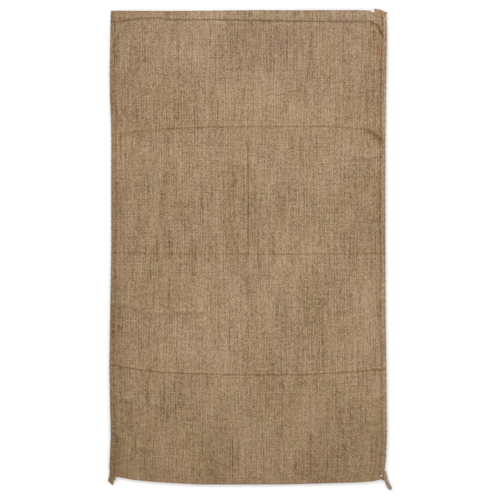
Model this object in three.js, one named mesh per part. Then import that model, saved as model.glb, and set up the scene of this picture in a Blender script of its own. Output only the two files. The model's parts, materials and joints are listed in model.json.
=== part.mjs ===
// A hessian race sack, laid flat and empty on its back, in millimetres.
// X runs across the sack, Y from the bottom fold to the open mouth, and Z up. The origin is on the
// surface that the sack lies on, under the middle of the back.
//
// One length of cloth is folded at the bottom into a front and a back layer. Both mouth edges are
// turned in and stitched as hems, and both side edges are closed by overhead stitching in jute twine.
// To open the mouth, each layer bends along two creases, which run from the bottom corners of the sack
// to the middle of its mouth edge, so each layer is a centre piece and two side pieces.
import * as THREE from 'three';

// Driving dimensions
const SACK_WIDTH = 600;
const SACK_LENGTH = 1032;
const CLOTH = 2;
const HEM_CLOTH = 3;
const LAYER_GAP = 9;
const HEM_WIDTH = 22;
const SEAM_WIDTH = 14;
const TWINE = 3;
const STITCH_PITCH = 14.5;
const HEM_STITCH_PITCH = 12;
const JOIN_GAP = 0.3;

// Heights of the layers
const BACK_INSIDE = CLOTH;
const FRONT_INSIDE = CLOTH + LAYER_GAP;
const FRONT_OUTSIDE = 2 * CLOTH + LAYER_GAP;
const MID_HEIGHT = FRONT_OUTSIDE / 2;

// Places in plan. The seam line is the axis about which the front and back side pieces open.
const MOUTH_Y = SACK_LENGTH / 2;
const HEM_Y = MOUTH_Y - HEM_WIDTH;
const FOLD_Y = -SACK_LENGTH / 2 + MID_HEIGHT;
const SEAM_X = SACK_WIDTH / 2 - 2;
const CLOTH_EDGE_X = SEAM_X - 4;
const BAND_X = SEAM_X - SEAM_WIDTH;
const FOLD_END_X = SEAM_X - 9;
const CORNER_PATCH_X = SEAM_X - 31;
const CREASE_ANGLE = Math.atan2(SEAM_X, MOUTH_Y - FOLD_Y);

const LEFT = -1;
const RIGHT = 1;

const material = (color, roughness) => new THREE.MeshStandardMaterial({ color, roughness, metalness: 0 });
const clothMaterial = material(0xa4896d, 0.95);
const hemMaterial = material(0xa88e75, 0.95);
const twineMaterial = material(0xb09673, 0.9);

function piece(name, geometry, pieceMaterial) {
  const mesh = new THREE.Mesh(geometry, pieceMaterial);
  mesh.name = name;
  return mesh;
}

function body(...pieces) {
  const group = new THREE.Group();
  group.add(...pieces);
  return group;
}

// A flat piece of cloth: its outline in plan, between two heights.
function slab(outline, low, high) {
  const shape = new THREE.Shape(outline.map(([x, y]) => new THREE.Vector2(x, y)));
  const geometry = new THREE.ExtrudeGeometry(shape, { depth: high - low, bevelEnabled: false });
  return geometry.translate(0, 0, low);
}

// The same outline in the back layer or the front layer, with its outer face flush with the layer's.
function inLayer(layer, outline, thickness) {
  return layer === 'back'
    ? slab(outline, 0, thickness)
    : slab(outline, FRONT_OUTSIDE - thickness, FRONT_OUTSIDE);
}

// Distance of the crease from the middle of the sack at a height y, plus a clearance towards the seam.
function creaseX(y, clearance) {
  return (MOUTH_Y - y) * Math.tan(CREASE_ANGLE) + clearance / Math.cos(CREASE_ANGLE);
}

// Height at which the crease is at a distance x from the middle, with the same clearance.
function creaseY(x, clearance) {
  return MOUTH_Y - (x - clearance / Math.cos(CREASE_ANGLE)) / Math.tan(CREASE_ANGLE);
}

const mirrored = (side, outline) => outline.map(([x, y]) => [side * x, y]);

// The middle of a layer, from the bottom fold to the middle of the mouth edge.
function centreOutline() {
  const inner = -JOIN_GAP / 2;
  const bottom = FOLD_Y + JOIN_GAP;
  const shoulder = creaseY(CLOTH_EDGE_X, inner);
  const apex = creaseY(0, inner);
  return [
    [-FOLD_END_X, bottom],
    [FOLD_END_X, bottom],
    [CLOTH_EDGE_X, shoulder - 4],
    [CLOTH_EDGE_X, shoulder],
    [0, apex],
    [-CLOTH_EDGE_X, shoulder],
    [-CLOTH_EDGE_X, shoulder - 4],
  ];
}

// The side of a layer, between its crease, its seam band and its hem.
function sideOutline(side) {
  const outer = JOIN_GAP / 2;
  return mirrored(side, [
    [BAND_X, creaseY(BAND_X, outer)],
    [BAND_X, HEM_Y],
    [creaseX(HEM_Y, outer), HEM_Y],
  ]);
}

// The turned edge of a layer that the overhead stitching holds.
function seamBandOutline(side, top) {
  const outer = JOIN_GAP / 2;
  const inside = BAND_X + JOIN_GAP;
  return mirrored(side, [
    [CLOTH_EDGE_X, creaseY(CLOTH_EDGE_X, outer)],
    [CLOTH_EDGE_X, top],
    [inside, top],
    [inside, creaseY(inside, outer)],
  ]);
}

// The turned-in edge of a layer at the mouth, from the crease to an outer end.
function hemOutline(side, endX) {
  const outer = JOIN_GAP / 2;
  const bottom = HEM_Y + JOIN_GAP;
  return mirrored(side, [
    [creaseX(bottom, outer), bottom],
    [endX, bottom],
    [endX, MOUTH_Y],
    [creaseX(MOUTH_Y, outer), MOUTH_Y],
  ]);
}

// Hem thread: a row of stitches standing up from a thin thread, along the hem, on a face at height z.
function hemStitches(side, endX, z) {
  const width = 1.2;
  const thread = 0.5;
  const stitch = 1.2;
  const stitchLength = 8;
  const start = creaseX(HEM_Y, 3);
  const count = Math.floor((endX - start) / HEM_STITCH_PITCH);
  const profile = [[start, 0]];
  for (let i = 0; i < count; i += 1) {
    const x = start + i * HEM_STITCH_PITCH + 1;
    profile.push([x, thread], [x + 1, stitch], [x + stitchLength - 1, stitch], [x + stitchLength, thread]);
  }
  profile.push([start + count * HEM_STITCH_PITCH, 0]);
  const shape = new THREE.Shape(profile.map(([x, height]) => new THREE.Vector2(side * x, height)));
  const geometry = new THREE.ExtrudeGeometry(shape, { depth: width, bevelEnabled: false });
  return geometry.rotateX(Math.PI / 2).translate(0, HEM_Y + 3, z);
}

// Overhead stitching: twine along the seam line, bulging outwards at every stitch.
function seamTwine(side) {
  const inside = SEAM_X + 1;
  const bulge = 1.5;
  const bottom = -SACK_LENGTH / 2 + 26;
  const top = HEM_Y - 4;
  const count = Math.floor((top - bottom) / STITCH_PITCH);
  const stepsPerStitch = 5;
  const steps = count * stepsPerStitch;
  const pitch = (top - bottom) / count;
  const outline = [[inside, bottom]];
  for (let i = 0; i <= steps; i += 1) {
    const along = i / stepsPerStitch;
    const out = bulge * Math.abs(Math.sin(Math.PI * along));
    outline.push([inside + 1.5 + out, bottom + along * pitch]);
  }
  outline.push([inside, top]);
  return slab(mirrored(side, outline), MID_HEIGHT - TWINE / 2, MID_HEIGHT + TWINE / 2);
}

// The bottom fold: the cloth turning up from the back layer to the front one. It stops short of the
// front layer, which swings back over it when the mouth opens.
function bottomFold() {
  const steps = 12;
  const start = -Math.PI / 2;
  const end = THREE.MathUtils.degToRad(66);
  const arc = (radius, i) => {
    const angle = start + ((end - start) * i) / steps;
    return new THREE.Vector2(-radius * Math.cos(angle), MID_HEIGHT + radius * Math.sin(angle));
  };
  const section = [];
  for (let i = 0; i <= steps; i += 1) section.push(arc(MID_HEIGHT, i));
  for (let i = steps; i >= 0; i -= 1) section.push(arc(MID_HEIGHT - CLOTH, i));
  const length = 2 * FOLD_END_X;
  const geometry = new THREE.ExtrudeGeometry(new THREE.Shape(section), { depth: length, bevelEnabled: false });
  // The section's first axis becomes Y, its second Z, and the length runs along X.
  const toSackAxes = new THREE.Matrix4().makeBasis(
    new THREE.Vector3(0, 1, 0),
    new THREE.Vector3(0, 0, 1),
    new THREE.Vector3(1, 0, 0),
  );
  return geometry.applyMatrix4(toSackAxes).translate(-FOLD_END_X, FOLD_Y, 0);
}

// Left seam: its flat, square-cut end sticks out at the bottom corner.
function leftSeamTail() {
  const outline = [[-303, -497], [-307, -511], [-296, -519], [-292, -499]];
  return slab(outline, MID_HEIGHT - 2, MID_HEIGHT + 1);
}

// Right seam: the chained end of its twine hangs out past the bottom corner.
function rightSeamTail() {
  const radius = 2.8;
  const route = new THREE.CatmullRomCurve3([
    new THREE.Vector3(301, -497, 6.5),
    new THREE.Vector3(303, -508, 5),
    new THREE.Vector3(307, -519, 3.6),
    new THREE.Vector3(312.5, -528, 3.2),
  ]);
  const section = new THREE.Shape();
  section.absarc(0, 0, radius, 0, 2 * Math.PI);
  return new THREE.ExtrudeGeometry(section, { steps: 8, curveSegments: 8, extrudePath: route });
}

// The doubled patch where the left seam meets the mouth hem.
function leftMouthCorner() {
  const outline = [
    [-CLOTH_EDGE_X, HEM_Y + JOIN_GAP],
    [-CORNER_PATCH_X - JOIN_GAP, HEM_Y + JOIN_GAP],
    [-CORNER_PATCH_X - JOIN_GAP, MOUTH_Y],
    [-CLOTH_EDGE_X, MOUTH_Y],
  ];
  return inLayer('front', outline, HEM_CLOTH);
}

// The folded tab of seam cloth that stands a little past the right end of the mouth.
function rightMouthTab() {
  const outline = [
    [CORNER_PATCH_X + JOIN_GAP, HEM_Y + JOIN_GAP],
    [CLOTH_EDGE_X, HEM_Y + JOIN_GAP],
    [CLOTH_EDGE_X, MOUTH_Y - 10],
    [304, MOUTH_Y - 8],
    [301, MOUTH_Y + 2.5],
    [278, MOUTH_Y + 2],
    [275, MOUTH_Y - 3],
    [CORNER_PATCH_X + JOIN_GAP, MOUTH_Y - 1],
  ];
  return inLayer('front', outline, HEM_CLOTH);
}

function centrePanel(layer) {
  return piece(`${layer}_centre_panel`, inLayer(layer, centreOutline(), CLOTH), clothMaterial);
}

// The pieces of one side of one layer, which bend away from the centre together.
function sideBody(layer, side) {
  const where = `${layer}_${side === LEFT ? 'left' : 'right'}`;
  const isBack = layer === 'back';
  const hemEnd = isBack ? BAND_X : CORNER_PATCH_X;
  const bandTop = isBack ? MOUTH_Y : HEM_Y;
  const stitchBase = (isBack ? HEM_CLOTH : FRONT_OUTSIDE) + JOIN_GAP;
  return body(
    piece(`${where}_panel`, inLayer(layer, sideOutline(side), CLOTH), clothMaterial),
    piece(`${where}_seam_band`, inLayer(layer, seamBandOutline(side, bandTop), CLOTH), clothMaterial),
    piece(`${where}_hem`, inLayer(layer, hemOutline(side, hemEnd), HEM_CLOTH), hemMaterial),
    piece(`${where}_hem_stitches`, hemStitches(side, hemEnd, stitchBase), twineMaterial),
  );
}

const backCentre = body(
  centrePanel('back'),
  piece('bottom_fold', bottomFold(), clothMaterial),
  piece('left_seam_tail', leftSeamTail(), clothMaterial),
  piece('right_seam_tail', rightSeamTail(), twineMaterial),
);

const backLeft = sideBody('back', LEFT);
backLeft.add(piece('left_seam_twine', seamTwine(LEFT), twineMaterial));

const backRight = sideBody('back', RIGHT);
backRight.add(piece('right_seam_twine', seamTwine(RIGHT), twineMaterial));

const frontCentre = body(centrePanel('front'));

const frontLeft = sideBody('front', LEFT);
frontLeft.add(piece('left_mouth_corner', leftMouthCorner(), hemMaterial));

const frontRight = sideBody('front', RIGHT);
frontRight.add(piece('right_mouth_tab', rightMouthTab(), hemMaterial));

const sack = new THREE.Group();
sack.add(backCentre, backLeft, backRight, frontCentre, frontLeft, frontRight);

export default sack;
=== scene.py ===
import json
import math

import bpy
import numpy as np
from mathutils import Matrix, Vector


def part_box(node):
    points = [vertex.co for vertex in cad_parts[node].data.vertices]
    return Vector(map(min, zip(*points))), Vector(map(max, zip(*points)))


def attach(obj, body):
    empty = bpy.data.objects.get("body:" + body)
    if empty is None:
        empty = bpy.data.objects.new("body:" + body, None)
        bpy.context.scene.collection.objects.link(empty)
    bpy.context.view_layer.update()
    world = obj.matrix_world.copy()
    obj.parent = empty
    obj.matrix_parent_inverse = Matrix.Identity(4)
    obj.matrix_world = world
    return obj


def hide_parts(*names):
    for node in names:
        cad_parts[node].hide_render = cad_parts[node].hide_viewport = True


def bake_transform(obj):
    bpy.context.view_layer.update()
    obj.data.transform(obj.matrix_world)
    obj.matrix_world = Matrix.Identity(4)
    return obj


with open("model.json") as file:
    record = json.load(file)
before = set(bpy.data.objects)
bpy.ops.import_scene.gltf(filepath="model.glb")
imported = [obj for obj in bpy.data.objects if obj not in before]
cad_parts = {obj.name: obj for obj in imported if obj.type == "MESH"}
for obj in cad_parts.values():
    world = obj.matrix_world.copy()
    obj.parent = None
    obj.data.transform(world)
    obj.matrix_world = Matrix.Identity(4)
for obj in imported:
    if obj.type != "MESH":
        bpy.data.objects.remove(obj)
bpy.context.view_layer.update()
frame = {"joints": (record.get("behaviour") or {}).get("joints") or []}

MM = 0.001
LEFT, RIGHT = -1, 1
BACK, FRONT = -1, 1
SIDE_NAMES = {LEFT: "left", RIGHT: "right"}
LAYER_NAMES = {BACK: "back", FRONT: "front"}

# Places taken from the frame
JOINTS = {joint["name"]: joint for joint in frame["joints"]}
CORNER = Vector(JOINTS["back_right_crease"]["pos_m"])
MID_Z = CORNER.z
MOUTH_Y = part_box("back_left_hem")[1].y
FOLD_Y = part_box("bottom_fold")[0].y
HALF_WIDTH = CORNER.x

# Sizes of the cloth and its sewing
CLOTH = 1.5 * MM
HEM_CLOTH = 3.2 * MM
HEM_WIDTH = 23 * MM
HALF_LOFT = 5.7 * MM
ROLL = 6 * MM
VALLEY_AT = 11 * MM
STITCH_PITCH = 14.5 * MM
ROW_PITCH = STITCH_PITCH / 5
COLUMN_PITCH = 4.4 * MM
ROLL_ROWS = 4
PATCH_GAP = 0.12 * MM
LEAST_LOFT = 0.06 * MM
MIN_CLEARANCE = 0.08 * MM
HEM_STITCH_PITCH = 8.5 * MM
HEM_STITCH_LENGTH = 5.6 * MM
THREAD_RADIUS = 0.55 * MM
TWINE_RADIUS = 0.85 * MM
CORE_RADIUS = 2.4 * MM
CORE_GIRTH = 15 * MM
TAIL_RADIUS = 2.1 * MM

# Rows of the cloth grid are closer together in these bands up the sack, in millimetres
FINE_BANDS = [(-283, -252), (-20, -8), (244, 268), (487, 516)]
FINE_PITCH = 0.95 * MM

# The sack's outline, in millimetres: half width by height along the sack, and the bottom fold and the
# mouth edge by distance across it.
EDGE_BY_Y = {
    LEFT: [(-516, 301.5), (-497, 302.5), (-470, 301.5), (-420, 300), (-264, 302.5), (-100, 300.5),
           (-6, 299.2), (255, 299.2), (325, 301.3), (373, 302), (516, 300)],
    RIGHT: [(-516, 294), (-500, 296), (-485, 298.5), (-469, 299.5), (-412, 301), (-277, 300),
            (-147, 298.8), (-16, 298.2), (231, 298.2), (279, 298.8), (466, 301), (516, 300)],
}
FOLD_BY_X = [(-303, -497), (-291, -499.5), (-249, -507.5), (-190, -512.5), (-110, -517), (75, -517),
             (147, -515), (240, -512.5), (272, -510), (290, -505), (303, -500)]
MOUTH_BY_X = [(-303, 515.5), (-179, 514.5), (25, 516.5), (242, 516.5), (264, 515.5), (270, 512),
              (276, 509.5), (303, 508)]

# Lines on the front layer, in millimetres
HEM_LINE = [(-269, 493), (-253, 495.5), (-232, 498), (-192, 500), (-168, 496), (-62, 496), (8, 493.5),
            (216, 491), (264, 492)]
RIGHT_CORNER_LINE = [(264, 492), (272, 489), (278, 483), (284, 472), (289, 458)]
RIGHT_INNER_LINE = [(262, 487), (270, 484), (277, 477), (284, 464)]
LEFT_PATCH_LINE = [(-269.5, 516), (-269.5, 493), (-289, 491.5)]
UPPER_CREASE = [(-296, 246), (-240, 252), (-200, 256), (-120, 261), (0, 263), (180, 263), (246, 258)]
UPPER_FOLD = [(258, 255), (272, 246), (290, 231)]
MIDDLE_CREASE = [(-296, -12), (-120, -14), (60, -15), (296, -13)]
LOWER_CREASE = [(-296, -255), (-240, -265), (-182, -272), (-60, -277), (120, -277), (230, -270),
                (296, -265)]
CENTRE_CREASE = [(-1, 216), (-1, 120), (-1, -12)]
CENTRE_FORK = [(-7, 233), (-1, 216), (6, 231)]
CENTRE_CREASE_FAINT = [(-1, -12), (-2, -180)]
RIGHT_MOUTH_FOLD = [(270, 468), (280, 440), (284, 385)]
# Storage creases: a line, the height of its ridge in millimetres, and how dark its painted shade is
CREASES = [
    (UPPER_CREASE, 0.6, 0.85),
    (MIDDLE_CREASE, 1.0, 0.6),
    (LOWER_CREASE, 1.2, 1.15),
    (CENTRE_CREASE, 0.9, 1.5),
    (CENTRE_FORK, 0.5, 0.9),
    (CENTRE_CREASE_FAINT, 0.5, 0.7),
]
# Stitched lines: a line, and how deep it is pulled in, in millimetres, which also sets the painted shade in
# its groove
HEM_LINES = [(HEM_LINE, 0.85), (RIGHT_CORNER_LINE, 1.2), (RIGHT_INNER_LINE, 0.7)]
FRONT_HEM_LINES = [(LEFT_PATCH_LINE, 0.4)]
# Shallow folds that run in from the side seams, and one down from the right mouth corner, each with painted
# shade along it and a painted highlight below
SOFT_FOLDS = [
    [(-299, -128), (-256, -128), (-208, -150), (-166, -143), (-95, -143)],
    [(-295, -315), (-280, -333), (-225, -339), (-162, -356)],
    [(-295, -412), (-247, -442), (-203, -447)],
    [(292, 205), (262, 190), (228, 196)],
    [(293, -325), (262, -338), (224, -330)],
    RIGHT_MOUTH_FOLD,
]
# Redder brown marks on the front layer, mostly along its creases and folds: a line, how strong, and half its
# width in millimetres
REDDER_MARKS = [
    (UPPER_FOLD, 1.1, 9),
    (CENTRE_CREASE[:2], 0.6, 6),
    (CENTRE_FORK, 0.6, 5),
    (RIGHT_MOUTH_FOLD, 0.9, 14),
    (LEFT_PATCH_LINE, 0.8, 5),
    (UPPER_CREASE[:3], 0.5, 8),
    (UPPER_CREASE[2:], 0.5, 5),
    (MIDDLE_CREASE, 0.6, 5),
    (LOWER_CREASE, 0.4, 5),
    ([(276, -268), (288, -262)], 1.2, 6),
]
# The cloth's undulations: height, and the size of a swell across and along the sack, in millimetres
SWELLS = [(1.0, 150, 200), (0.75, 58, 80), (0.32, 24, 38), (0.13, 10, 18), (0.10, 8, 120)]


def smooth_curve(points, at, width=24 * MM):
    """A line through a few (place, value) points in millimetres, rounded over width, and read at places
    in metres."""
    places, values = np.array(points, float).T * MM
    fine = np.arange(places[0] - width, places[-1] + width, MM)
    kernel = np.hanning(int(width / MM) + 2)
    kernel /= kernel.sum()
    raw = np.interp(fine, places, values)
    padded = np.pad(raw, len(kernel), mode="edge")
    rounded = np.convolve(padded, kernel, mode="same")[len(kernel):-len(kernel)]
    return np.interp(at, fine, rounded)


def smoothstep(low, high, value):
    t = np.clip((value - low) / (high - low), 0, 1)
    return t * t * (3 - 2 * t)


def lattice_noise(x, y, cell_x, cell_y, seed):
    """Smooth random values from -1 to 1 on a lattice of cells, in metres."""
    size = 128
    table = np.random.default_rng(seed).uniform(-1, 1, (size, size))
    gx, gy = x / cell_x + 64.37, y / cell_y + 64.71
    ix, iy = np.floor(gx).astype(int), np.floor(gy).astype(int)
    fx, fy = gx - ix, gy - iy
    fx, fy = fx * fx * (3 - 2 * fx), fy * fy * (3 - 2 * fy)

    def corner(i, j):
        return table[(iy + j) % size, (ix + i) % size]

    low = corner(0, 0) * (1 - fx) + corner(1, 0) * fx
    high = corner(0, 1) * (1 - fx) + corner(1, 1) * fx
    return low * (1 - fy) + high * fy


def line_distance(x, y, points):
    """Distance of each (x, y) from a line through a few points in millimetres."""
    nearest = np.full(np.shape(x), 1.0)
    for (ax, ay), (bx, by) in zip(points, points[1:]):
        ax, ay, bx, by = ax * MM, ay * MM, bx * MM, by * MM
        length2 = (bx - ax) ** 2 + (by - ay) ** 2
        t = np.clip(((x - ax) * (bx - ax) + (y - ay) * (by - ay)) / length2, 0, 1)
        nearest = np.minimum(nearest, np.hypot(x - ax - t * (bx - ax), y - ay - t * (by - ay)))
    return nearest


def hump(distance, half_width):
    return np.exp(-((distance / half_width) ** 2))


def undulation(x, y, seed):
    return sum(
        height * MM * lattice_noise(x, y, across * MM, along * MM, seed + k)
        for k, (height, across, along) in enumerate(SWELLS)
    )


def storage_creases(x, y, seed):
    """Ridges with a groove along the top, with painted shade in the groove and a painted highlight beside it
    on the upper left: height, shade and highlight.
    """
    total = np.zeros((3,) + np.shape(x))
    broken = 0.75 + 0.35 * lattice_noise(x, y, 19 * MM, 19 * MM, seed + 5)
    for line, height, shade in CREASES:
        distance = line_distance(x, y, line)
        beside = line_distance(x + 3.2 * MM, y - 3.2 * MM, line)
        ridge = hump(distance, 9 * MM) - 0.9 * hump(distance, 2.6 * MM)
        groove = broken * hump(distance, 1.7 * MM)
        # painted shade in the groove, and a painted highlight offset towards the key light
        total += [height * MM * ridge, shade * groove, 0.5 * shade * broken * hump(beside, 2.4 * MM)]
    return total


def soft_folds(x, y):
    """Shallow folds at the sides, and the sharper one at the right end of the upper crease: height, painted
    shade along each fold and a painted highlight just below it.
    """
    total = np.zeros((3,) + np.shape(x))
    for line in SOFT_FOLDS:
        distance = line_distance(x, y, line)
        below = line_distance(x, y - 7 * MM, line)
        ridge = hump(distance, 8 * MM) - 0.6 * hump(below, 9 * MM)
        # painted shade along each fold and a painted highlight just below it
        total += [1.3 * MM * ridge, 0.42 * hump(distance, 5 * MM), 0.35 * hump(below, 8 * MM)]
    distance = line_distance(x, y, UPPER_FOLD)
    ridge = 1.6 * hump(distance, 10 * MM) - 1.8 * hump(distance, 3.2 * MM)
    # painted shade along the upper fold
    shade = 0.65 * hump(distance, 3.5 * MM) + 0.35 * hump(distance, 9 * MM)
    total += [MM * ridge, shade, 0 * shade]
    return total


# a redder brown tint laid along the creases and folds
def redder_marks(x, y, seed):
    blotch = 0.7 + 0.6 * lattice_noise(x, y, 14 * MM, 20 * MM, seed)
    return sum(
        amount * blotch * hump(line_distance(x, y, line), width * MM)
        for line, amount, width in REDDER_MARKS
    )


def loft(layer, x, y):
    """Height of a layer's outer face off the middle of the sack, and its painted shade, light and redder
    marks.
    """
    seed = 10 if layer == FRONT else 50
    # the back's creases and folds are fainter
    strength = 1.0 if layer == FRONT else 0.35
    rise, painted_shade, light = strength * (storage_creases(x, y, seed) + soft_folds(x, y))
    rise = rise + strength * undulation(x, y, seed)
    redder = redder_marks(x, y, seed + 7) if layer == FRONT else np.zeros(np.shape(x))
    # stitched lines are pulled in, with painted shade in their grooves
    for line, depth in HEM_LINES + (FRONT_HEM_LINES if layer == FRONT else []):
        distance = line_distance(x, y, line)
        rise = rise - depth * MM * hump(distance, 2.0 * MM)
        painted_shade = painted_shade + 1.5 * depth * hump(distance, 1.6 * MM)
    # the hem band above its line puckers and is made lighter
    above_hem = smoothstep(494 * MM, 500 * MM, y)
    rise = rise + above_hem * 0.4 * MM * lattice_noise(x + 0.6 * y, y, 13 * MM, 60 * MM, seed + 6)
    light = light + 0.25 * above_hem
    if layer == BACK:
        rise = np.minimum(rise, 0.7 * MM)
    return HALF_LOFT + rise, painted_shade, light, redder


def row_places():
    """Rows up the sack from the fold to the mouth, closer together at the hem line and the creases."""
    rows = [FOLD_Y + HALF_LOFT]
    last = MOUTH_Y - HEM_CLOTH / 2
    while rows[-1] < last:
        fine = any(low * MM <= rows[-1] <= high * MM for low, high in FINE_BANDS)
        rows.append(rows[-1] + (FINE_PITCH if fine else ROW_PITCH))
    rows[-1] = last
    return np.array(rows)


def section_columns():
    """Columns across one side of a layer, from the middle to the seam line: distance from the sack's edge,
    how far the layer is lofted there, and distance along the cloth."""
    middle = HALF_WIDTH - np.arange(0, 8) * MM
    flat = np.linspace(middle[-1] - 2.5 * MM, 44 * MM, int((HALF_WIDTH - 54 * MM) / COLUMN_PITCH))
    flat = np.concatenate([middle, flat, np.arange(42, 23, -1.6) * MM])
    near = np.array([21.5, 19, 17, 15.3, 13.8, 12.4, 11, 9.7, 8.4, 7.2]) * MM
    turn = np.radians([90, 76, 62, 48, 35, 23, 11, 0.6])
    inset = np.concatenate([flat, near, ROLL * (1 - np.cos(turn))])
    lift = np.concatenate([np.ones(len(flat) + len(near)), np.sin(turn)])
    step = np.hypot(np.diff(inset), HALF_LOFT * np.diff(lift))
    along = np.concatenate([[0], np.cumsum(step)])
    return inset, lift, along


def stitch_phase(layer, y):
    """Half turns along the seam, one to a stitch. The back's stitches lie between the front's."""
    phase = np.pi * (y - FOLD_Y) / STITCH_PITCH
    return phase + np.pi / 2 if layer == BACK else phase


def seam_marks(layer, side, x, y, inset):
    """Height that the overhead stitches give beside the rolled edge, deepest at each stitch, with painted
    shade in the valley and along the edge, a painted highlight on the right roll and the redder tint in the
    right valley: height, shade, highlight and tint to add."""
    beat = np.cos(2 * stitch_phase(layer, y))
    wander = 0.9 * MM * lattice_noise(x * 0, y, 1.0, 31 * MM, 91 + side)
    uneven = 0.75 + 0.65 * lattice_noise(x * 0, y, 1.0, 17 * MM, 95 + side) + 0.3 * beat
    from_valley = inset - VALLEY_AT - wander
    upper = smoothstep(-110 * MM, 120 * MM, y)
    pull = 1.9 * MM + 0.7 * MM * beat
    height = 0.5 * MM * beat * hump(inset - ROLL, 3 * MM) - pull * hump(from_valley, 2.0 * MM)
    height = height - 0.45 * MM * beat * hump(inset - 18 * MM, 5 * MM)
    # painted shade in the valley, along the very edge and, on the left, beside the roll; on the right a
    # painted highlight on the roll and the redder tint in the valley
    seam_shade = 0.35 + 0.4 * upper if side == RIGHT else 0.55
    painted_shade = seam_shade * uneven * hump(from_valley, 1.25 * MM) + 0.8 * hump(inset, 1.8 * MM)
    light, redder = 0 * y, 0 * y
    if side == RIGHT:
        light = 0.9 * hump(inset - 4.5 * MM, 4 * MM)
        redder = 0.9 * (0.5 + 0.4 * upper) * uneven * hump(from_valley, 3.5 * MM)
    else:
        painted_shade = painted_shade + 0.18 * hump(inset - 3 * MM, 6 * MM)
    return height, painted_shade, light, redder


def outline_shift(layer, side, x, y, inset, lift):
    """How far a point moves across the sack, to put the edge on the sack's outline: front and back meet on
    the seam line, and the front's roll hangs out over it, a little further between stitches."""
    edge = smooth_curve(EDGE_BY_Y[side], y) - HALF_WIDTH
    share = np.clip(1 - inset / HALF_WIDTH, 0, 1)
    tuck = np.minimum(lift * 2.4, 1) if layer == FRONT else 0 * lift
    uneven_pull = 0.55 + 0.45 * lattice_noise(x * 0, y, 1.0, 33 * MM, 99 + side)
    depth = (0.95 if side == RIGHT else 0.55) * MM * uneven_pull
    between_stitches = np.abs(np.sin(stitch_phase(layer, y))) - 0.6
    scallop = depth * between_stitches * (1 - smoothstep(6 * MM, 12 * MM, inset))
    overhang = 1.35 * np.maximum(edge, 0) * share * tuck
    return side * (np.minimum(edge, 0) * share + overhang + scallop * tuck)


def outer_face(layer, side, rows, columns):
    """Outer face of one side of a layer as a grid of points, with its place on the flat cloth and its marks:
    painted shade, light marks and the redder tint."""
    inset, lift, along = columns
    y, inset = np.meshgrid(rows, inset, indexing="ij")
    lift = np.broadcast_to(lift, y.shape)
    along = np.broadcast_to(along, y.shape)
    x = side * (HALF_WIDTH - inset)
    height, *marks = (a + b for a, b in zip(loft(layer, x, y), seam_marks(layer, side, x, y, inset)))
    moved_x = x + outline_shift(layer, side, x, y, inset, lift)
    low = smooth_curve(FOLD_BY_X, moved_x) - FOLD_Y
    high = smooth_curve(MOUTH_BY_X, moved_x, 6 * MM) - MOUTH_Y
    moved_y = y + low * (1 - smoothstep(FOLD_Y, FOLD_Y + 190 * MM, y))
    moved_y = moved_y + high * smoothstep(MOUTH_Y - 40 * MM, MOUTH_Y, y)
    z = MID_Z + layer * np.maximum(lift * height, LEAST_LOFT)
    z = np.maximum(z, MIN_CLEARANCE)
    # the cloth's length runs up the back, round the fold and on up the front
    uv = np.stack([side * along, layer * (y - FOLD_Y)], -1)
    painted_shade, light, redder = marks
    marks = np.stack([np.clip(painted_shade, 0, 1.5), light, np.clip(redder, 0, 1.2)], -1)
    return np.stack([moved_x, moved_y, z], -1), uv, marks


def grid_normals(points, outward):
    """Unit normals of a grid of points, on the side that outward (+1 or -1 along Z) says."""
    down = np.gradient(points, axis=0)
    across = np.gradient(points, axis=1)
    normal = np.cross(across, down)
    normal /= np.linalg.norm(normal, axis=-1, keepdims=True) + 1e-12
    middle = normal[normal.shape[0] // 2, 0, 2]
    return normal * (outward if middle > 0 else -outward)


def shell(name, outer, inner, uv, marks, smooth_end=False, flip=False):
    """A closed sheet of cloth between an outer and an inner grid of points, with sharp rims. The last row's
    rim is smooth where the cloth rolls over there, and flip turns the faces over."""
    rows, columns = outer.shape[:2]
    inner_rows = inner.shape[0]
    vertices = np.concatenate([outer.reshape(-1, 3), inner.reshape(-1, 3)])
    top = np.arange(rows * columns).reshape(rows, columns)
    under = rows * columns + np.arange(inner_rows * columns).reshape(inner_rows, columns)

    def quads(grid):
        return np.stack([grid[:-1, :-1], grid[:-1, 1:], grid[1:, 1:], grid[1:, :-1]], -1).reshape(-1, 4)

    def strip(a, b):
        return np.stack([a[:-1], b[:-1], b[1:], a[1:]], -1).reshape(-1, 4)

    faces = [
        quads(top),
        quads(under)[:, ::-1],
        strip(top[0], under[0]),
        strip(under[-1], top[-1]),
    ]
    # the sides: the rows past the inner grid's last one belong to the rolled edge
    for column in (0, -1):
        a, b = top[:inner_rows, column], under[:, column]
        faces.append(strip(b, a) if column == 0 else strip(a, b))
        fan = top[inner_rows - 1:, column]
        for k in range(1, len(fan) - 1, 2):
            quad = [fan[k - 1], fan[k], fan[k + 1], under[-1, column]]
            faces.append(np.array([quad if column == 0 else quad[::-1]]))
    faces = np.concatenate(faces)
    if flip:
        faces = faces[:, ::-1]
    inner_uv = uv[:inner_rows].reshape(-1, 2)
    all_uv = np.concatenate([uv.reshape(-1, 2), inner_uv])
    all_marks = np.concatenate([marks.reshape(-1, 3), marks[:inner_rows].reshape(-1, 3) * 0.5])
    obj = mesh_object(name, vertices, faces, all_uv, dict(zip(("painted_shade", "light", "redder"), all_marks.T)))
    rims = [top[0], under[0], top[:, 0], under[:, 0], top[:, -1], under[:, -1]]
    if not smooth_end:
        rims += [top[-1], under[-1]]
    mark_sharp(obj, rims)
    return obj


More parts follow.
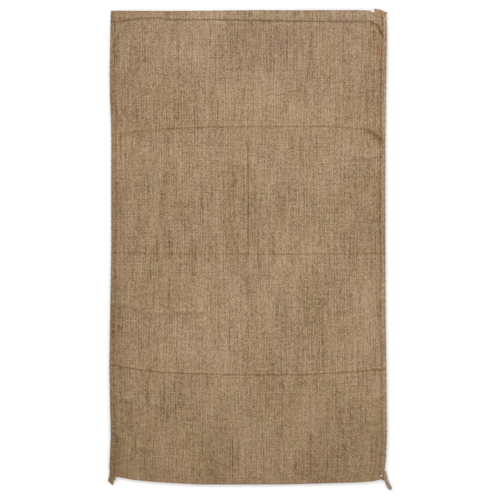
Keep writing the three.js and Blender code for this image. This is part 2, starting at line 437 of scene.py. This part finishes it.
def mesh_object(name, vertices, faces, uv, values=None):
    """A smooth-shaded mesh with a UV map in metres of cloth, and float values at its points."""
    mesh = bpy.data.meshes.new(name)
    mesh.from_pydata([tuple(v) for v in vertices], [], [tuple(int(i) for i in f) for f in faces])
    mesh.validate()
    loops = np.zeros(len(mesh.loops), np.int32)
    mesh.loops.foreach_get("vertex_index", loops)
    layer = mesh.uv_layers.new(name="cloth")
    layer.data.foreach_set("uv", np.asarray(uv, np.float32)[loops].ravel())
    for key, value in (values or {}).items():
        attribute = mesh.attributes.new(key, "FLOAT", "POINT")
        attribute.data.foreach_set("value", np.asarray(value, np.float32))
    mesh.shade_smooth()
    mesh.update()
    obj = bpy.data.objects.new(name, mesh)
    bpy.context.scene.collection.objects.link(obj)
    return obj


def mark_sharp(obj, rims):
    """Marks the edges whose two ends are both on one of the rims."""
    on_rim = np.zeros((len(rims), len(obj.data.vertices)), bool)
    for row, rim in zip(on_rim, rims):
        row[rim] = True
    edges = np.zeros(len(obj.data.edges) * 2, np.int32)
    obj.data.edges.foreach_get("vertices", edges)
    edges = edges.reshape(-1, 2)
    sharp = (on_rim[:, edges[:, 0]] & on_rim[:, edges[:, 1]]).any(0)
    attribute = obj.data.attributes.new("sharp_edge", "BOOLEAN", "EDGE")
    attribute.data.foreach_set("value", sharp)


def rolled_mouth(outer, normals, thickness):
    """The rows that carry the outer face over the mouth edge, as a half round of the hem's thickness."""
    normal = normals[-1]
    along = outer[-1] - outer[-2]
    along /= np.linalg.norm(along, axis=-1, keepdims=True)
    centre = outer[-1] - normal * thickness / 2
    angles = [math.pi * (k + 1) / (ROLL_ROWS + 1) for k in range(ROLL_ROWS)]
    return [centre + thickness / 2 * (math.cos(a) * normal + math.sin(a) * along) for a in angles]


def cloth_side(layer, side, columns):
    """One side of one layer: the cloth from the bottom fold to the mouth, turned in there as a hem."""
    rows = row_places()
    outer, uv, marks = outer_face(layer, side, rows, columns)
    normals = grid_normals(outer, layer)
    doubled = smoothstep(MOUTH_Y - HEM_WIDTH - 2 * MM, MOUTH_Y - HEM_WIDTH, rows)[:, None, None]
    thickness = CLOTH + (HEM_CLOTH - CLOTH) * doubled
    inner = outer - normals * thickness
    roll = rolled_mouth(outer, normals, HEM_CLOTH)
    roll_uv = [uv[-1] + [0, layer * (k + 1) * MM] for k in range(ROLL_ROWS)]
    # the rolled mouth edge gets painted shade
    roll_marks = np.repeat(marks[-1:], ROLL_ROWS, 0) + [0.7, 0, 0]
    obj = shell(f"{LAYER_NAMES[layer]}_{SIDE_NAMES[side]}_cloth", np.concatenate([outer, roll]), inner,
                np.concatenate([uv, roll_uv]), np.concatenate([marks, roll_marks]),
                smooth_end=True, flip=layer != side)
    return obj, outer, normals


def fold_strip(borders, columns):
    """The bottom fold: cloth turning from the back layer's first row round to the front layer's."""
    steps = 10
    lift, along = columns[1:]
    front = np.concatenate([borders[FRONT, LEFT][::-1], borders[FRONT, RIGHT][1:]])
    back = np.concatenate([borders[BACK, LEFT][::-1], borders[BACK, RIGHT][1:]])
    lift = np.concatenate([lift[::-1], lift[1:]])[:, None]
    along = np.concatenate([-along[::-1], along[1:]])
    centre, half = (front + back) / 2, (front - back) / 2
    rows, uv = [], []
    for k in range(steps + 1):
        angle = math.pi * (k / steps - 0.5)
        out = HALF_LOFT * lift ** 0.4 * math.cos(angle) * np.array([[0, -1, 0]])
        rows.append(centre + half * math.sin(angle) + out)
        uv.append(np.stack([along, np.full(len(along), HALF_LOFT * angle)], -1))
    outer, uv = np.stack(rows), np.stack(uv)
    down, across = np.gradient(outer, axis=0), np.gradient(outer, axis=1)
    normals = np.cross(across, down)
    normals /= np.linalg.norm(normals, axis=-1, keepdims=True) + 1e-12
    if normals[steps // 2, len(lift) // 2, 1] > 0:
        normals = -normals
    inner = outer - normals * CLOTH * np.minimum(1, lift * 3)[None]
    return shell("bottom_fold_cloth", outer, inner, uv, np.zeros(outer.shape))


# ---------------------------------------------------------------- materials

class Nodes:
    """Builds a material's node tree from expressions."""

    def __init__(self, name):
        self.material = bpy.data.materials.new(name)
        self.material.use_nodes = True
        self.tree = self.material.node_tree
        self.tree.nodes.clear()

    def new(self, kind, **settings):
        node = self.tree.nodes.new(kind)
        for key, value in settings.items():
            setattr(node, key, value)
        return node

    def put(self, socket, value):
        if isinstance(value, bpy.types.NodeSocket):
            self.tree.links.new(value, socket)
        else:
            socket.default_value = value

    def math(self, operation, a, b=0.0):
        node = self.new("ShaderNodeMath", operation=operation)
        self.put(node.inputs[0], a)
        self.put(node.inputs[1], b)
        return node.outputs[0]

    def add(self, a, b):
        return self.math("ADD", a, b)

    def times(self, a, b):
        return self.math("MULTIPLY", a, b)

    def step(self, value, low, high, to_low=0.0, to_high=1.0):
        node = self.new("ShaderNodeMapRange", interpolation_type="SMOOTHSTEP")
        self.put(node.inputs["Value"], value)
        node.inputs["From Min"].default_value = low
        node.inputs["From Max"].default_value = high
        node.inputs["To Min"].default_value = to_low
        node.inputs["To Max"].default_value = to_high
        return node.outputs["Result"]

    def vector(self, x, y, z=0.0):
        node = self.new("ShaderNodeCombineXYZ")
        for socket, value in zip(node.inputs, (x, y, z)):
            self.put(socket, value)
        return node.outputs[0]

    def noise(self, vector, scale=1.0, detail=2.0, roughness=0.5):
        node = self.new("ShaderNodeTexNoise")
        self.put(node.inputs["Vector"], vector)
        node.inputs["Scale"].default_value = scale
        node.inputs["Detail"].default_value = detail
        node.inputs["Roughness"].default_value = roughness
        return node.outputs["Fac"]

    def mix(self, factor, a, b, blend="MIX"):
        node = self.new("ShaderNodeMix", data_type="RGBA", blend_type=blend)
        self.put(node.inputs["Factor"], factor)
        self.put(node.inputs[6], a)
        self.put(node.inputs[7], b)
        return node.outputs[2]

    def scaled(self, colour, value):
        node = self.new("ShaderNodeVectorMath", operation="SCALE")
        node.inputs[0].default_value = colour[:3]
        self.put(node.inputs["Scale"], value)
        return node.outputs[0]

    def finish(self, colour, height, distance, roughness=0.92, sheen=0.12):
        bump = self.new("ShaderNodeBump")
        bump.inputs["Strength"].default_value = 1.0
        bump.inputs["Distance"].default_value = distance
        self.put(bump.inputs["Height"], height)
        shader = self.new("ShaderNodeBsdfPrincipled")
        self.put(shader.inputs["Base Color"], colour)
        self.put(shader.inputs["Normal"], bump.outputs[0])
        self.put(shader.inputs["Roughness"], roughness)
        shader.inputs["Specular IOR Level"].default_value = 0.25
        shader.inputs["Sheen Weight"].default_value = sheen
        shader.inputs["Sheen Roughness"].default_value = 0.6
        output = self.new("ShaderNodeOutputMaterial")
        self.put(output.inputs["Surface"], shader.outputs[0])
        return self.material


class ClothNodes(Nodes):
    """A node tree that reads the cloth's own coordinates: u across it and v along it, in metres."""

    def __init__(self, name):
        super().__init__(name)
        parts = self.new("ShaderNodeSeparateXYZ")
        self.put(parts.inputs[0], self.new("ShaderNodeUVMap", uv_map="cloth").outputs[0])
        self.u, self.v = parts.outputs[0], parts.outputs[1]

    def field(self, across, along, seed, detail=2.0, roughness=0.5):
        """Noise with so many cells to a metre across and along the cloth."""
        place = self.vector(self.times(self.u, across), self.times(self.v, along), seed)
        return self.noise(place, 1.0, detail, roughness)

    def mark(self, name):
        return self.new("ShaderNodeAttribute", attribute_name=name).outputs["Fac"]

    def ribs(self, place, wander, strength):
        """Neighbouring yarns paired into ribs: a shade that swings by strength round 1."""
        wave = self.math("COSINE", self.add(self.times(place, math.pi), self.times(wander, 9.0)))
        return self.add(self.times(wave, strength), 1.0)


YARN_PITCH = 2.75 * MM

# Unevenness of the weave. Each row is noise (cells to a metre across and along the cloth, seed, detail,
# roughness) and a step: two values of the noise, and the shades that it goes between
UNEVEN = [
    ((330, 9, 3.1, 2, 0.6), (0.34, 0.66, 0.875, 1.125)),  # each warp yarn's own shade
    ((9, 330, 5.7, 2, 0.6), (0.34, 0.66, 0.95, 1.05)),  # each weft yarn's own shade
    ((360, 7, 23.0, 1, 0.5), (0.6, 0.69, 1.0, 0.79)),  # thin gaps between warp yarns
    ((190, 210, 29.0, 1, 0.5), (0.67, 0.76, 1.0, 0.76)),  # dark flecks
    ((78, 88, 71.0, 1, 0.5), (0.7, 0.78, 1.0, 0.86)),  # larger flecks
    ((26, 400, 17.0, 1, 0.5), (0.62, 0.72, 1.0, 1.16)),  # thick bright slubs in the weft
    ((130, 60, 27.0, 3, 0.6), (0.3, 0.7, 0.94, 1.06)),  # small patches
    ((36, 11, 31.0, 3, 0.55), (0.27, 0.73, 0.92, 1.08)),  # streaks along the warp
    ((9, 4.5, 33.0, 2, 0.5), (0.33, 0.67, 0.925, 1.075)),  # large patches
]


def weave(n):
    """Shade and height of single yarns crossing at YARN_PITCH, uneven in width, shade and spacing."""
    # yarns wander sideways, so the grid isn't straight
    pu = n.add(n.times(n.u, 1 / YARN_PITCH), n.times(n.field(46.0, 16.0, 1.3, 3.0, 0.6), 3.4))
    pv = n.add(n.times(n.v, 1 / YARN_PITCH), n.times(n.field(16.0, 46.0, 7.9, 3.0, 0.6), 3.4))
    cross = n.times(n.math("SINE", n.times(pu, math.pi)), n.math("SINE", n.times(pv, math.pi)))
    bulge = n.math("ABSOLUTE", cross)
    shade = n.times(n.step(cross, -0.3, 0.3, 0.78, 1.22), n.step(bulge, 0.0, 0.5, 0.66, 1.0))
    # each float, the stretch of yarn between two crossings, has its own shade
    single = n.new("ShaderNodeTexWhiteNoise", noise_dimensions="2D")
    n.put(single.inputs["Vector"], n.vector(n.math("FLOOR", pu), n.math("FLOOR", pv)))
    shade = n.times(shade, n.step(single.outputs["Value"], 0.0, 1.0, 0.79, 1.21))
    rib_strength = n.step(n.field(21.0, 11.0, 43.0), 0.35, 0.65, 0.04, 0.12)
    shade = n.times(shade, n.ribs(pu, n.field(9.0, 5.0, 41.0), rib_strength))
    shade = n.times(shade, n.ribs(pv, n.field(5.0, 9.0, 45.0), 0.03))
    for noise, step in UNEVEN:
        shade = n.times(shade, n.step(n.field(*noise), *step))
    # the gaps run deeper than the fibres run bright
    deeper = n.math("MAXIMUM", n.add(n.times(shade, 2.4), -0.75), 0.12)
    shade = n.math("DIVIDE", deeper, n.add(n.times(shade, 0.96), 0.7))
    fibre = n.field(2600.0, 900.0, 37.0)
    return shade, n.add(n.math("POWER", bulge, 0.6), n.times(fibre, 0.25))


def painted_falloff_shade(n, from_fold):
    """Painted shade: the cloth is darker by the fold, at the left, and along the lower part of both seams.
    """
    shade = n.times(n.step(from_fold, 0.0, 0.36, 0.835, 1.01), n.step(n.u, -0.3, -0.08, 0.905, 1.0))
    seams = n.add(n.step(n.u, -0.25, -0.29), n.times(n.step(n.u, 0.25, 0.29), 0.5))
    seams = n.times(seams, n.step(from_fold, 0.76, 0.6))
    shade = n.times(shade, n.add(1.0, n.times(seams, -0.16)))
    return n.times(shade, n.step(from_fold, 0.0, 0.05, 0.95, 1.0))


def jute_colour(n, shade, from_fold):
    """Jute is browner where it is darker, in its fibres and in its painted shade, and paler where it is
    lighter, with patches of pinker and greener jute along the warp, and the redder tint that the mesh marks."""
    red = n.times(n.math("POWER", shade, 0.85), 0.358)
    green = n.times(shade, 0.248)
    blue = n.times(n.math("POWER", shade, 1.25), n.step(from_fold, 0.8, 0.98, 0.146, 0.153))
    colour = n.vector(red, green, blue)
    patches = n.field(17.0, 8.0, 11.0, 3.0, 0.6)
    pinker = n.mix(1.0, colour, (1.012, 0.975, 1.03, 1), "MULTIPLY")
    greener = n.mix(1.0, colour, (0.998, 1.0, 0.945, 1), "MULTIPLY")
    colour = n.mix(n.step(patches, 0.5, 0.66), colour, pinker)
    colour = n.mix(n.step(patches, 0.5, 0.34), colour, greener)
    reddened = n.mix(1.0, colour, (0.99, 0.88, 0.76, 1), "MULTIPLY")
    return n.mix(n.mark("redder"), colour, reddened)


def hessian(name, tint=(1.0, 1.0, 1.0, 1.0)):
    """Plain-woven jute cloth, with the marks that the mesh carries: painted shade, painted highlights with a
    lighter hem band, and a redder tint.
    """
    n = ClothNodes(name)
    shade, height = weave(n)
    from_fold = n.math("ABSOLUTE", n.v)
    shade = n.times(shade, painted_falloff_shade(n, from_fold))
    # painted shade in creases, folds, stitched grooves, seam valleys and along the edges darkens the cloth
    shade = n.times(shade, n.math("SUBTRACT", 1.0, n.times(n.mark("painted_shade"), 0.45)))
    # painted highlights beside creases, below folds and on the right roll, and the lighter hem band,
    # brighten it
    shade = n.times(shade, n.add(n.times(n.mark("light"), 0.3), 1.0))
    colour = n.mix(1.0, jute_colour(n, shade, from_fold), tint, "MULTIPLY")
    return n.finish(colour, height, 0.35 * MM, sheen=0.04)


def twine(name, colour):
    """Twisted jute twine: slanting plies along its length, with painted shade in the grooves between them,
    and loose fibres' mottling.
    """
    n = ClothNodes(name)
    ply = n.math("SINE", n.add(n.times(n.v, 2 * math.pi / (3 * MM)), n.times(n.u, 2 * math.pi * 2)))
    fibre = n.noise(n.vector(n.times(n.u, 14.0), n.times(n.v, 900.0), 3.0), detail=3.0)
    # the grooves between the plies are painted darker: painted shade
    shade = n.times(n.step(ply, -1.0, 0.4, 0.6, 1.0), n.step(fibre, 0.25, 0.75, 0.78, 1.2))
    height = n.add(n.times(ply, 0.5), n.times(fibre, 0.5))
    return n.finish(n.scaled(colour, shade), height, 0.3 * MM, sheen=0.2)


# ---------------------------------------------------------------- thread and twine

class Tubes:
    """Collects closed tubes along short paths into one mesh."""

    def __init__(self):
        self.vertices, self.faces, self.uv = [], [], []

    def add(self, path, radius, sides=8, start_radius=None, end_radius=None):
        path = np.asarray(path, float)
        tangent = np.gradient(path, axis=0)
        tangent /= np.linalg.norm(tangent, axis=1, keepdims=True) + 1e-12
        helper = np.array([0.0, 0.0, 1.0]) if abs(tangent[0, 2]) < 0.9 else np.array([0.0, 1.0, 0.0])
        radii = np.full(len(path), radius)
        if start_radius is not None:
            radii[0] = start_radius
        if end_radius is not None:
            radii[-1] = end_radius
        length = np.concatenate([[0], np.cumsum(np.linalg.norm(np.diff(path, axis=0), axis=1))])
        first = len(self.vertices)
        across = np.cross(tangent[0], helper)
        for point, direction, r, along in zip(path, tangent, radii, length):
            across = across - direction * (across @ direction)
            across /= np.linalg.norm(across) + 1e-12
            up = np.cross(direction, across)
            for k in range(sides):
                angle = 2 * math.pi * k / sides
                self.vertices.append(point + r * (math.cos(angle) * across + math.sin(angle) * up))
                self.uv.append((k / sides, along))
        for i in range(len(path) - 1):
            for k in range(sides):
                a, b = first + i * sides + k, first + i * sides + (k + 1) % sides
                self.faces.append((a, b, b + sides, a + sides))
        self.faces.append(tuple(first + k for k in range(sides))[::-1])
        last = first + (len(path) - 1) * sides
        self.faces.append(tuple(last + k for k in range(sides)))

    def object(self, name):
        return mesh_object(name, self.vertices, self.faces, self.uv)


def at(grid, row, column):
    """A point of a grid at a fractional row and column."""
    row = min(max(row, 0.0), grid.shape[0] - 1.001)
    column = min(max(column, 0.0), grid.shape[1] - 1.001)
    i, j = int(row), int(column)
    a, b = row - i, column - j
    return (
        grid[i, j] * (1 - a) * (1 - b) + grid[i + 1, j] * a * (1 - b)
        + grid[i, j + 1] * (1 - a) * b + grid[i + 1, j + 1] * a * b
    )


def overhead_half(layer, side, face, normals, columns, rows):
    """One layer's half of each overhead stitch: out of the valley, over the rolled edge to the seam line."""
    tubes = Tubes()
    inset = columns[0]
    valley = float(np.interp(-VALLEY_AT, -inset, np.arange(len(inset))))
    stitched_length = MOUTH_Y - FOLD_Y - 22 * MM
    for stitch in range(1, int(stitched_length / STITCH_PITCH)):
        start = FOLD_Y + HALF_LOFT + stitch * STITCH_PITCH
        hole = start + (0 if layer == FRONT else STITCH_PITCH / 2)
        meet = start + STITCH_PITCH / 4
        path = []
        for k in range(9):
            t = k / 8
            column = valley + (len(inset) - 1.6 - valley) * t
            y = hole + (meet - hole) * t + 0.7 * MM * math.sin(stitch * 2.3)
            row = np.interp(y, rows, np.arange(len(rows)))
            proud = 0.75 * MM * (1 - t ** 5) - 1.5 * MM * (1 - t) ** 6
            point = at(face, row, column) + at(normals, row, column) * proud
            point[2] = max(point[2], 0.9 * MM)
            path.append(point)
        tubes.add(path, TWINE_RADIUS, end_radius=0.3 * MM)
    return tubes.object(f"{SIDE_NAMES[side]}_seam_stitches_{LAYER_NAMES[layer]}")


def seam_core(side):
    """The cloth's edge turned in and rolled up inside the side seam."""
    tubes = Tubes()
    path = []
    for y in np.arange(FOLD_Y + 9 * MM, MOUTH_Y - 5 * MM, 6 * MM):
        wobble = 0.3 * MM * float(lattice_noise(np.array(0.0), np.array(y), 1.0, 25 * MM, 61 + side))
        path.append((side * (HALF_WIDTH - 5.4 * MM + wobble), y, MID_Z))
    tubes.add(path, CORE_RADIUS, sides=12)
    tubes.uv = [(around * CORE_GIRTH, along) for around, along in tubes.uv]
    return tubes.object(f"{SIDE_NAMES[side]}_seam_core")


def hem_thread(layer, side, face, normals, rows):
    """Lock stitches along the hem line."""
    tubes = Tubes()
    xs, ys = np.array(HEM_LINE, float).T * MM
    # the front's is seen on its outer face, where it stops at the right corner's curve, and the back's
    # on its inner face
    out, depth, end = (1, 0, 262 * MM) if layer == FRONT else (-1, HEM_CLOTH, 286 * MM)
    for centre in np.arange(7 * MM, end, HEM_STITCH_PITCH):
        path = []
        for k in range(6):
            t = k / 5
            x = side * (centre + (t - 0.5) * HEM_STITCH_LENGTH)
            y = np.interp(x, xs, ys)
            row = np.interp(y, rows, np.arange(len(rows)))
            column = np.interp(x * side, face[int(row), :, 0] * side, np.arange(face.shape[1]))
            proud = 0.5 * MM - 1.1 * MM * (2 * t - 1) ** 4
            path.append(at(face, row, column) + at(normals, row, column) * (out * proud - depth))
        tubes.add(path, THREAD_RADIUS, sides=6)
    return tubes.object(f"{LAYER_NAMES[layer]}_{SIDE_NAMES[side]}_hem_thread")


def surface_z(layer, x, y):
    """Height of a layer's outer face over a place on the floor."""
    inset = HALF_WIDTH - abs(x)
    lift = math.sin(math.acos(min(1.0, max(0.0, 1 - inset / ROLL))))
    height = loft(layer, np.array([x]), np.array([y]))[0]
    return MID_Z + layer * lift * float(height[0])


def uneven_edge(outline, seed):
    """Points round an outline in millimetres, close together and each a little out of line."""
    corners = np.array(outline, float) * MM
    edge = []
    for a, b in zip(corners, np.roll(corners, -1, axis=0)):
        count = max(2, int(np.linalg.norm(b - a) / (1.6 * MM)))
        edge += [a + (b - a) * k / count for k in range(count)]
    edge = np.array(edge)
    return edge + np.random.default_rng(seed).uniform(-0.25, 0.25, edge.shape) * MM


def ring_faces(first, second, count, flip):
    """The quads between two rings of count points, given the number of each ring's first point."""
    quads = []
    for k in range(count):
        quad = (first + k, first + (k + 1) % count, second + (k + 1) % count, second + k)
        quads.append(quad[::-1] if flip else quad)
    return quads


def patch(name, outline, base, thickness, seed):
    """A small piece of cloth lying on a surface: thin with rounded edges, closed all round. base gives its
    underside's height; outline is in millimetres."""
    edge = uneven_edge(outline, seed)
    centre = edge.mean(0)
    count = len(edge)
    rim_width = 0.12
    scales = [1.0, 0.985, 0.95, 0.88, 0.76, 0.6, 0.42, 0.22]
    rings = len(scales)
    vertices, uv, faces = [], [], []
    # rings of points from the edge inwards, on top and then on the underside, which share the first one
    for face_side in (1, -1):
        for scale in scales if face_side == 1 else scales[1:]:
            ring = centre + (edge - centre) * scale
            full = math.sqrt(max(0.0, 1 - ((scale - 0.88) / rim_width) ** 2)) if scale > 0.88 else 1.0
            for x, y in ring:
                bump = 0.35 * MM * float(lattice_noise(np.array(x), np.array(y), 6 * MM, 6 * MM, seed))
                top = thickness * (0.5 + 0.5 * full * face_side)
                if face_side == 1:
                    top += bump * full
                vertices.append((x, y, base(x, y) + PATCH_GAP + top))
                uv.append((x, y - FOLD_Y))
    for k in range(rings - 1):
        faces += ring_faces(k * count, (k + 1) * count, count, False)
    lower = rings * count
    faces += ring_faces(0, lower, count, True)
    for k in range(rings - 2):
        faces += ring_faces(lower + k * count, lower + (k + 1) * count, count, True)
    # each innermost ring is closed by a point at its middle
    for first, flip in (((rings - 1) * count, False), (lower + (rings - 2) * count, True)):
        ring = [first + k for k in range(count)]
        vertices.append(tuple(np.mean([vertices[i] for i in ring], axis=0)))
        uv.append(tuple(np.mean([uv[i] for i in ring], axis=0)))
        for k in range(count):
            triangle = (ring[k], ring[(k + 1) % count], len(vertices) - 1)
            faces.append(triangle[::-1] if flip else triangle)
    return mesh_object(name, vertices, faces, uv)


def chain_tail(name):
    """The seam's chain of twine run off past the lower right corner: three strands plaited, and frayed at
    the end."""
    guide = np.array([(296.5, -488, 6.5), (297.5, -497, 6.3), (299.5, -505.5, 6.0), (302.5, -513.5, 5.5),
                      (306, -520.5, 5.0), (309.5, -526.5, 4.6)]) * MM
    places = np.linspace(0, 1, len(guide))
    steps, turns = 70, 4.4
    out = np.array([0.88, 0.47, 0.0])
    onward = np.array([0.52, -0.85, 0.0])
    tubes = Tubes()
    for strand in range(3):
        path = []
        for k in range(steps):
            t = k / (steps - 1)
            centre = np.array([np.interp(t, places, guide[:, axis]) for axis in range(3)])
            turn = 2 * math.pi * (t * turns + strand / 3)
            spread = (2.5 + 0.25 * math.sin(9 * t)) * MM * min(1, 0.35 + 4 * t)
            rise = np.array([0, 0, 1.1 * MM]) * math.sin(2 * turn)
            path.append(centre + out * spread * math.sin(turn) + rise)
        tubes.add(path, TAIL_RADIUS, start_radius=0.6 * MM, end_radius=1.4 * MM)
    rng = np.random.default_rng(7)
    end = guide[-1]
    for _ in range(26):
        aim = onward + rng.uniform(-0.45, 0.45, 3) * [1, 1, 0.4]
        start = end + rng.uniform(-1.6, 1.6, 3) * MM * [1, 1, 0.5] - onward * 2.5 * MM
        length = rng.uniform(3.5, 6.0) * MM
        bend = rng.uniform(-0.25, 0.25, 3) * [1, 1, 0.3]
        path = [start + aim * length * t + bend * length * t * t for t in np.linspace(0, 1, 6)]
        tubes.add(path, 0.2 * MM, sides=5, end_radius=0.06 * MM)
    return tubes.object(name)


def knot(name, face, normals, x, y):
    """A small knot of pale twine standing on the cloth."""
    tubes = Tubes()
    columns = np.arange(face.shape[1])
    low_row = 20
    guess = int(np.interp(x, face[low_row, :, 0], columns))
    row = int(np.argmin(np.abs(face[:, guess, 1] - y)))
    column = np.interp(x, face[row, :, 0], columns)
    centre = at(face, row, column) + at(normals, row, column) * 1.25 * MM
    path = []
    for k in range(60):
        t = 2 * math.pi * k / 60
        path.append(centre + MM * np.array([
            0.62 * (math.sin(t) + 2 * math.sin(2 * t)),
            0.62 * (math.cos(t) - 2 * math.cos(2 * t)),
            -0.5 * math.sin(3 * t),
        ]))
    tubes.add(path, 0.75 * MM)
    return tubes.object(name)


# ---------------------------------------------------------------- camera, light and floor

def camera():
    """Straight above the sack."""
    data = bpy.data.cameras.new("camera")
    data.lens, data.sensor_width = 85, 36
    view_width = 1087.5 * MM
    distance = view_width * data.lens / data.sensor_width
    data.clip_end = 20
    obj = bpy.data.objects.new("camera", data)
    obj.location = (3.3 * MM, -5.7 * MM, 2 * MID_Z + distance)
    bpy.context.scene.collection.objects.link(obj)
    bpy.context.scene.camera = obj


def area_light(name, place, size, power):
    data = bpy.data.lights.new(name, "AREA")
    data.shape, data.size, data.energy = "DISK", size, power
    obj = bpy.data.objects.new(name, data)
    obj.location = place
    obj.rotation_euler = (-Vector(place)).to_track_quat("-Z", "Y").to_euler()
    bpy.context.scene.collection.objects.link(obj)


def studio():
    world = bpy.data.worlds.new("studio")
    world.use_nodes = True
    background = world.node_tree.nodes["Background"]
    background.inputs["Color"].default_value = (1, 1, 1, 1)
    background.inputs["Strength"].default_value = 1.01
    bpy.context.scene.world = world
    area_light("key", (-1.8, 3.0, 4.6), 2.6, 87)
    bpy.context.scene.view_settings.view_transform = "Standard"
    # the weave is as fine as the picture's grain, so its colour isn't smoothed before denoising
    bpy.context.scene.cycles.denoising_prefilter = "NONE"
    n = Nodes("pale_floor")
    speck = n.noise(n.new("ShaderNodeTexCoord").outputs["Object"], scale=40.0)
    colour = n.mix(speck, (0.93, 0.93, 0.93, 1), (0.97, 0.97, 0.97, 1))
    material = n.finish(colour, speck, 0.01 * MM, roughness=0.8, sheen=0.0)
    half = 12
    mesh = bpy.data.meshes.new("floor")
    corners = [(-half, -half, 0), (half, -half, 0), (half, half, 0), (-half, half, 0)]
    mesh.from_pydata(corners, [], [(0, 1, 2, 3)])
    mesh.materials.append(material)
    floor = bpy.data.objects.new("floor", mesh)
    bpy.context.scene.collection.objects.link(floor)


# ---------------------------------------------------------------- the sack

def bend_with(obj):
    """Bakes the piece's place into its mesh."""
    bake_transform(obj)


def make_ends(cloth, cord):
    """The loose ends at the sack's corners."""
    orange = hessian("hessian_orange", tint=(1.0, 0.95, 0.90, 1))
    outline = [(-298, 514.5), (-298, 491.5), (-284, 490.5), (-270, 493), (-269, 513.5), (-284, 515)]
    folded = patch("left_mouth_corner_cloth", outline, lambda x, y: surface_z(FRONT, x, y), 1.3 * MM, 21)
    folded.data.materials.append(orange)
    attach(folded, "front_left")
    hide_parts("left_mouth_corner")

    outline = [(274.5, 503), (286, 501), (298.5, 499), (300, 505), (303.5, 511), (296, 513), (286, 517.5),
               (273.5, 519.3)]
    # past here the tab stands out level from the sack's edge
    level_from = 0.2965
    tab = patch("right_mouth_tab_cloth", outline,
                lambda x, y: surface_z(FRONT, min(x, level_from), y), 2.0 * MM, 22)
    tab.data.materials.append(orange)
    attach(tab, "front_right")
    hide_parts("right_mouth_tab")

    outline = [(-303, -490), (-304.3, -500), (-306.9, -510), (-301.5, -514.5), (-296, -518.7), (-293, -508),
               (-293, -498)]
    left_tail = patch("left_seam_tail_cloth", outline, lambda x, y: 3.9 * MM, 3.6 * MM, 23)
    left_tail.data.materials.append(cloth)
    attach(left_tail, "back_centre")
    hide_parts("left_seam_tail")

    right_tail = chain_tail("right_seam_tail_twine")
    right_tail.data.materials.append(cord)
    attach(right_tail, "back_centre")
    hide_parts("right_seam_tail")


def make_half(layer, side, cloth, thread, columns, rows):
    """One side of one layer, with its half of the seam's stitches and its hem's thread. Returns its border
    at the bottom fold."""
    where = f"{LAYER_NAMES[layer]}_{SIDE_NAMES[side]}"
    obj, face, normals = cloth_side(layer, side, columns)
    obj.data.materials.append(cloth)
    bend_with(obj)
    nodes = [f"{where}_panel", f"{where}_hem", f"{where}_seam_band"]
    if side == LEFT:
        nodes.append(f"{LAYER_NAMES[layer]}_centre_panel")
    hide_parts(*nodes)

    stitches = overhead_half(layer, side, face, normals, columns, rows)
    stitches.data.materials.append(thread)
    bend_with(stitches)
    if layer == BACK:
        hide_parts(f"{SIDE_NAMES[side]}_seam_twine")

    hem = hem_thread(layer, side, face, normals, rows)
    hem.data.materials.append(thread)
    bend_with(hem)
    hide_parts(f"{where}_hem_stitches")

    if (layer, side) == (FRONT, RIGHT):
        bead = knot("lower_right_knot", face, normals, 289 * MM, -500 * MM)
        bead.data.materials.append(twine("pale_twine", (0.66, 0.57, 0.43, 1)))
        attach(bead, "front_right")
    return face[0]


def make_core(side, cloth):
    core = seam_core(side)
    core.data.materials.append(cloth)
    bend_with(core)


def make_fold(borders, columns, cloth):
    fold = fold_strip(borders, columns)
    fold.data.materials.append(cloth)
    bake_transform(fold)
    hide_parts("bottom_fold")


def make_sack():
    cloth = hessian("hessian")
    thread = twine("jute_thread", (0.35, 0.24, 0.145, 1))
    cord = twine("jute_twine", (0.35, 0.255, 0.17, 1))
    columns = section_columns()
    rows = row_places()
    borders = {}
    for layer in (FRONT, BACK):
        for side in (LEFT, RIGHT):
            borders[layer, side] = make_half(layer, side, cloth, thread, columns, rows)
    for side in (LEFT, RIGHT):
        make_core(side, cloth)
    make_ends(cloth, cord)
    make_fold(borders, columns, cloth)


camera()
studio()
make_sack()
